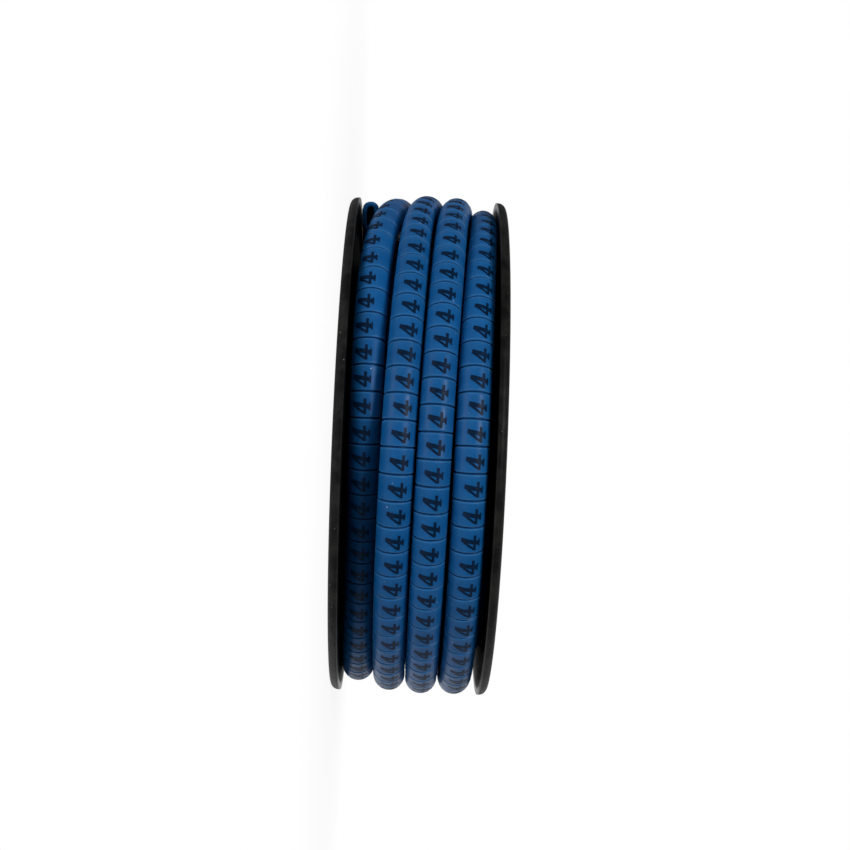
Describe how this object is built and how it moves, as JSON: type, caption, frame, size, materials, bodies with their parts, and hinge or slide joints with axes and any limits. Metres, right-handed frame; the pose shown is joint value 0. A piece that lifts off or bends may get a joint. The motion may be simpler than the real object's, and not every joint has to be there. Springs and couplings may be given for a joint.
{
  "type": "cable marker reel",
  "caption": "Black two-part reel wound with a continuous scored strip of blue tubular cable markers, with a round spindle hole through its hub.",
  "frame": {"origin": "centre of the spindle hole at the lower flange's outside face, on which the reel lies", "axes": "+Z along the reel's axis from the lower to the upper flange, -Y towards the side that the picture shows, -X towards the strip's free end"},
  "size_m": [0.1006, 0.1007, 0.031],
  "materials": {
    "reel_plastic": "matte black moulded polystyrene",
    "marker_pvc": "satin blue soft PVC"
  },
  "bodies": {
    "root": {"lower_reel_half": "reel_plastic", "upper_reel_half": "reel_plastic", "marker_strip": "marker_pvc"}
  },
  "joints": []
}
